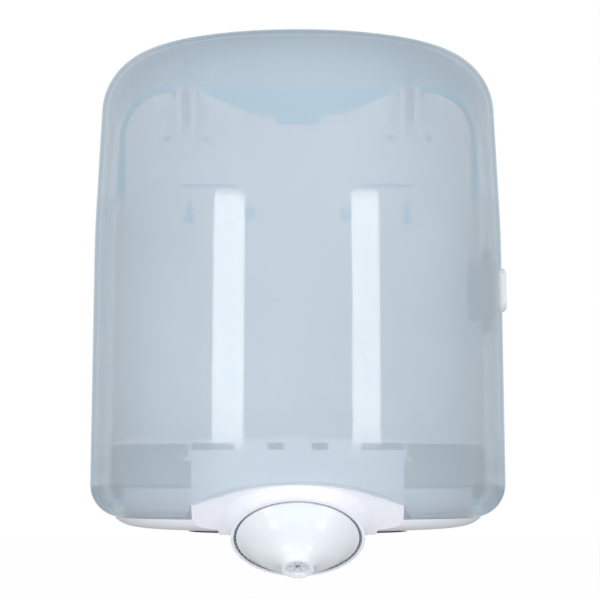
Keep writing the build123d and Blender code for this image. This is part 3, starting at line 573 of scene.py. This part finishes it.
@dataclass
class Chassis:
    """What stays on the wall: shell, base, roll seat, guide and hinge brackets, in mm."""

    base_screw_x: tuple[float, ...] = (-88.0, -30.0, 30.0, 88.0)
    base_screw_y: float = -5.65
    base_screw_z: float = -132.0
    base_screw_length: float = 4.9
    leg_x: float = 52.0
    leg_y: tuple[float, ...] = (-46.0, -126.0)
    leg_screw_z: float = -149.0
    leg_screw_length: float = 9.0
    guide_screw_x: float = 32.4
    guide_screw_y: tuple[float, ...] = (-196.2, -120.2)
    guide_screw_z: float = -94.0
    guide_screw_length: float = 6.0
    hinge_screw_x: tuple[float, ...] = (61.0, 87.0)
    hinge_screw_y: float = -6.2
    hinge_screw_z: float = 107.0
    hinge_screw_length: float = 5.4

    def build(self, zinc: bpy.types.Material) -> None:
        """Makes the chassis' screws.

        Args:
            zinc: The screws' plating.
        """
        back, up, down = (0, 1, 0), (0, 0, 1), (0, 0, -1)
        base = [(x, self.base_screw_y, self.base_screw_z) for x in self.base_screw_x]
        legs = [(side * self.leg_x, y, self.leg_screw_z) for side in SIDES for y in self.leg_y]
        guide = [(side * self.guide_screw_x, y, self.guide_screw_z)
                 for side in SIDES for y in self.guide_screw_y]
        hinge = [(side * x, self.hinge_screw_y, self.hinge_screw_z)
                 for side in SIDES for x in self.hinge_screw_x]
        ScrewSet("base_screws", "chassis", base, back, self.base_screw_length).build(zinc)
        ScrewSet("seat_screws", "chassis", legs, up, self.leg_screw_length).build(zinc)
        ScrewSet("guide_screws", "chassis", guide, down, self.guide_screw_length).build(zinc)
        ScrewSet("hinge_screws", "chassis", hinge, back, self.hinge_screw_length).build(zinc)

    def dress(self, finishes: Finishes) -> None:
        """Dresses the carried-over solids.

        Args:
            finishes: The finishes by name.
        """
        for node, finish in {
            "back_shell": "shell", "base_housing": "base", "roll_seat": "seat",
            "paper_guide": "seat", "hinge_bracket_left": "shell", "hinge_bracket_right": "shell",
            "hinge_pins": "steel", "pin_clips": "steel", "cover_buffers": "rubber",
        }.items():
            dress(node, finishes[finish])


@dataclass
class Nozzle:
    """The toothed collar in the base and the cone that turns in it, in mm."""

    tilt: float = 54.0
    ring: Point = (0.0, -201.4, -152.5)
    screw_radius: float = 34.55
    screw_setback: float = 12.4
    screw_angles: tuple[float, ...] = (90.0, 210.0, 330.0)
    screw_length: float = 7.0

    def axis(self) -> Vector:
        """Gives the way the nozzle points."""
        return Vector((0, -cos(radians(self.tilt)), -sin(radians(self.tilt))))

    def build(self, zinc: bpy.types.Material) -> None:
        """Makes the collar's screws.

        Args:
            zinc: The screws' plating.
        """
        out = self.axis()
        across = Vector((1, 0, 0))
        up = out.cross(across)
        seats = []
        for angle in self.screw_angles:
            spoke = across * cos(radians(angle)) + up * sin(radians(angle))
            seat = Vector(self.ring) + spoke * self.screw_radius - out * self.screw_setback
            seats.append(tuple(seat))
        ScrewSet("collar_screws", "chassis", seats, tuple(out), self.screw_length).build(zinc)

    def dress(self, finishes: Finishes) -> None:
        """Dresses the carried-over solids.

        Args:
            finishes: The finishes by name.
        """
        for node, finish in {
            "nozzle_collar": "collar", "nozzle_cone": "nozzle", "tip_sleeve": "nozzle",
            "retaining_ring": "grey", "metering_insert": "insert",
        }.items():
            dress(node, finishes[finish])


@dataclass
class Cover:
    """The tinted cover, which swings up about the hinge pins."""

    def dress(self, finishes: Finishes) -> None:
        """Dresses the carried-over solid."""
        dress("front_cover", finishes["cover"])


@dataclass
class Latch:
    """The push button in the cover's right side with its housing, screws and spring, in mm."""

    screw_x: float = 115.899
    screw_y: float = -92.0
    screw_z: tuple[float, ...] = (-24.0, 22.0)
    screw_length: float = 5.6
    spring: ReturnSpring = field(default_factory=ReturnSpring)

    def build(self, zinc: bpy.types.Material, steel: bpy.types.Material) -> None:
        """Makes the screws and the spring.

        Args:
            zinc: The screws' plating.
            steel: The spring's wire.
        """
        seats = [(self.screw_x, self.screw_y, z) for z in self.screw_z]
        outwards = (1, 0, 0)
        ScrewSet("latch_screws", "cover", seats, outwards, self.screw_length).build(zinc)
        self.spring.build(steel)

    def dress(self, finishes: Finishes) -> None:
        """Dresses the carried-over solids."""
        dress("latch_housing", finishes["grey"])
        dress("latch_button", finishes["button"])


@dataclass(frozen=True)
class SoftBox:
    """One rectangular lamp aimed at a point, in metres and watts."""

    name: str
    place: Point
    size: tuple[float, float]
    power: float
    aim: Point
    mirrored: bool = False

    def build(self) -> None:
        """Hangs the lamp; glossy surfaces show it only where it is mirrored."""
        lamp = bpy.data.lights.new(self.name, "AREA")
        lamp.shape = "RECTANGLE"
        lamp.size, lamp.size_y = self.size
        lamp.energy = self.power
        box = bpy.data.objects.new(self.name, lamp)
        bpy.context.scene.collection.objects.link(box)
        box.location = self.place
        box.visible_glossy = self.mirrored
        facing = Vector(self.aim) - Vector(self.place)
        box.rotation_euler = facing.to_track_quat("-Z", "Y").to_euler()


# The two strips give the cover its long upright highlights. The big boxes and the low fill
# light the object evenly, and the two small boxes reach the nozzle's underside.
SOFT_BOXES = (
    SoftBox("strip_left", (-0.795, -1.18, 0.1235), (0.40, 0.347), 4.0,
            (-0.05, -0.23, 0.1235), mirrored=True),
    SoftBox("strip_right", (0.775, -1.18, 0.1235), (0.35, 0.347), 3.4,
            (0.05, -0.23, 0.1235), mirrored=True),
    SoftBox("top_box", (0, -1.5, 1.5), (2.6, 1.6), 7.1, (0, -0.12, 0)),
    SoftBox("front_box", (0, -2.2, 0.5), (2.0, 1.2), 6.2, (0, -0.12, 0)),
    SoftBox("low_fill", (0, -1.15, -0.26), (2.4, 0.3), 4.6, (0, -0.12, 0)),
    SoftBox("under_left", (-0.125, -0.34, -0.31), (0.05, 0.12), 0.05,
            (-0.01, -0.21, -0.155), mirrored=True),
    SoftBox("under_right", (0.125, -0.34, -0.31), (0.05, 0.12), 0.05,
            (0.01, -0.21, -0.155), mirrored=True),
)


@dataclass
class Studio:
    """The camera, the soft boxes and the white surround, in metres and linear colours."""

    camera_x: float = 0.0013
    distance: float = 1.541
    camera_z: float = -0.1161
    horizon_px: float = 475.0
    focal_px: float = 2327.0
    frame_px: float = 600.0
    sensor_mm: float = 36.0
    floor_z: float = -0.32
    floor_half: float = 6.0
    floor_colour: Colour = (0.9, 0.9, 0.9, 1.0)
    floor_white: float = 1.06
    floor_share: float = 0.9
    white: Colour = (1.0, 1.0, 1.0, 1.0)
    sky: Colour = (0.90, 0.92, 0.94, 1.0)
    sky_strength: float = 0.44
    # Painted shade: the dark blue that the camera sees through the cover, standing for the
    # shadowed gap behind it.
    behind_cover_shade: Colour = (0.14, 0.31, 0.44, 1.0)

    def place_camera(self) -> None:
        """Puts the camera where the photograph was taken from."""
        lens = bpy.data.cameras.new("camera")
        lens.sensor_width = self.sensor_mm
        lens.lens = self.focal_px / self.frame_px * self.sensor_mm
        camera = bpy.data.objects.new("camera", lens)
        bpy.context.scene.collection.objects.link(camera)
        tilt = atan((self.horizon_px - self.frame_px / 2) / self.focal_px)
        camera.location = (self.camera_x, -self.distance, self.camera_z)
        camera.rotation_euler = (pi / 2 + tilt, 0, 0)
        bpy.context.scene.camera = camera

    def unveiled(self, tree: bpy.types.NodeTree,
                 path: bpy.types.Node) -> bpy.types.NodeSocket:
        """Tells the camera's rays that have met nothing see-through from all others.

        Args:
            tree: The tree in hand.
            path: Its Light Path node.

        Returns:
            A socket that is 1 for those rays.
        """
        clear = add_node(tree, "ShaderNodeMath", {"operation": "LESS_THAN", 1: 0.5},
                         {0: path.outputs["Transparent Depth"]})
        plain = add_node(tree, "ShaderNodeMath", {"operation": "MULTIPLY"},
                         {0: path.outputs["Is Camera Ray"], 1: clear.outputs[0]})
        return plain.outputs[0]

    def make_world(self) -> None:
        """Makes the surround: white to the eye, metal and glass, and painted shade in dark blue
        behind the cover.
        """
        world = bpy.data.worlds.new("surround")
        bpy.context.scene.world = world
        world.use_nodes = True
        tree = world.node_tree
        tree.nodes.clear()
        path = add_node(tree, "ShaderNodeLightPath")
        plain = self.unveiled(tree, path)
        mirrored = add_node(tree, "ShaderNodeMath", {"operation": "MAXIMUM"},
                            {0: path.outputs["Is Glossy Ray"],
                             1: path.outputs["Is Transmission Ray"]})
        seen = add_node(tree, "ShaderNodeMath", {"operation": "MAXIMUM"},
                        {0: plain, 1: mirrored.outputs[0]})
        behind = add_node(tree, "ShaderNodeMath", {"operation": "SUBTRACT"},
                          {0: path.outputs["Is Camera Ray"], 1: plain})
        soft = add_node(tree, "ShaderNodeBackground",
                        {"Color": self.sky, "Strength": self.sky_strength})
        white = add_node(tree, "ShaderNodeBackground", {"Color": self.white, "Strength": 1.0})
        # Painted shade for the gap behind the cover, shown to camera rays that pass through it.
        painted_gap_shade = add_node(tree, "ShaderNodeBackground", {"Color": self.behind_cover_shade, "Strength": 1.0})
        around = add_node(tree, "ShaderNodeMixShader", {},
                          {0: behind.outputs[0], 1: soft.outputs[0], 2: painted_gap_shade.outputs[0]})
        mixed = add_node(tree, "ShaderNodeMixShader", {},
                         {0: seen.outputs[0], 1: around.outputs[0], 2: white.outputs[0]})
        add_node(tree, "ShaderNodeOutputWorld", {}, {"Surface": mixed.outputs[0]})

    def make_floor(self) -> None:
        """Makes the pale floor, nearly white to the eye, which keeps the object's shadow."""
        half, level = self.floor_half, self.floor_z
        mesh = bpy.data.meshes.new("floor")
        corners = [(-half, -half, level), (half, -half, level), (half, half, level),
                   (-half, half, level)]
        mesh.from_pydata(corners, [], [(0, 1, 2, 3)])
        ground = bpy.data.objects.new("floor", mesh)
        bpy.context.scene.collection.objects.link(ground)
        material = bare_material("pale_floor")
        tree = material.node_tree
        path = add_node(tree, "ShaderNodeLightPath")
        pale = add_node(tree, "ShaderNodeBsdfDiffuse", {"Color": self.floor_colour})
        glow = add_node(tree, "ShaderNodeEmission",
                        {"Color": self.white, "Strength": self.floor_white})
        share = add_node(tree, "ShaderNodeMath", {"operation": "MULTIPLY", 1: self.floor_share},
                         {0: self.unveiled(tree, path)})
        mixed = add_node(tree, "ShaderNodeMixShader", {},
                         {0: share.outputs[0], 1: pale.outputs[0], 2: glow.outputs[0]})
        add_node(tree, "ShaderNodeOutputMaterial", {}, {"Surface": mixed.outputs[0]})
        mesh.materials.append(material)

    def build(self) -> None:
        """Sets up the whole studio."""
        bpy.context.scene.view_settings.view_transform = "Standard"
        self.place_camera()
        for box in SOFT_BOXES:
            box.build()
        self.make_world()
        self.make_floor()
        log.info("studio ready")


def make_finishes() -> Finishes:
    """Makes every finish that the carried-over solids wear.

    Returns:
        The finishes by name.
    """
    recipes = {
        # A smoke blue veil over the inside, with hard upright highlights.
        "cover": TintedCover(),
        # Glossy white, a little cool: the shell and the brackets behind the cover.
        "shell": MouldedPlastic("white_abs_shell", "#EEF1F4", "#E8ECF0"),
        # Glossy white, greyed with a trace of violet as painted shade: it copies the shade on the
        # base's wings under the cover.
        "base": MouldedPlastic("white_abs_base", "#E6E8F0", "#E0E3EC"),
        # A softer sheen than the shell's: the seat and the guide that the paper rubs on.
        "seat": MouldedPlastic("satin_white_abs", "#E8EBEF", "#E0E4E9", Polish.SATIN),
        # White acetal greyed by painted shade, so it sits darker than the shell, with wet-looking
        # highlights: the cone and its tip.
        "nozzle": MouldedPlastic("white_acetal", "#DDE2E6", "#D7DCE1"),
        # Painted shade: a mid grey on a collar of white acetal, standing for the deep shade of
        # the gap round the cone.
        "collar": MouldedPlastic("painted_shade_white_acetal", "#8A949B", "#808A92", Polish.SATIN),
        # As white as the shell, with a small highlight on each rounded edge.
        "button": MouldedPlastic("white_abs_button", "#EEF1F4", "#E8ECF0"),
        # A dull grey without clear reflections: the latch housing and the retaining ring.
        "grey": MouldedPlastic("grey_acetal", "#8F979F", "#858D95", Polish.SPARK),
        # Near black and without shine.
        "rubber": MouldedPlastic("buffer_rubber", "#2A2B2D", "#1F2022", Polish.MATT),
        # Pale, soft and dull against the glossy tip.
        "insert": MouldedPlastic("soft_insert", "#CDD2D6", "#C2C8CD", Polish.SPARK),
    }
    return {name: recipe.make() for name, recipe in recipes.items()}


def main() -> None:
    """Builds and dresses every piece in order."""
    logging.basicConfig(level=logging.INFO)
    Studio().build()
    # Bright zinc plate: pale, with slightly soft reflections.
    zinc = PlatedSteel("zinc_plated_steel", "#C9CBCC").make()
    # Plain drawn steel: darker and sharper, on the pins, the clips and the spring.
    steel = PlatedSteel("bright_steel", "#B9BBBD", 0.22).make()
    finishes = {**make_finishes(), "steel": steel}
    chassis, nozzle, cover, latch = Chassis(), Nozzle(), Cover(), Latch()
    chassis.build(zinc)
    nozzle.build(zinc)
    latch.build(zinc, steel)
    for group in (chassis, nozzle, cover, latch):
        group.dress(finishes)


if __name__ == "__main__":
    main()
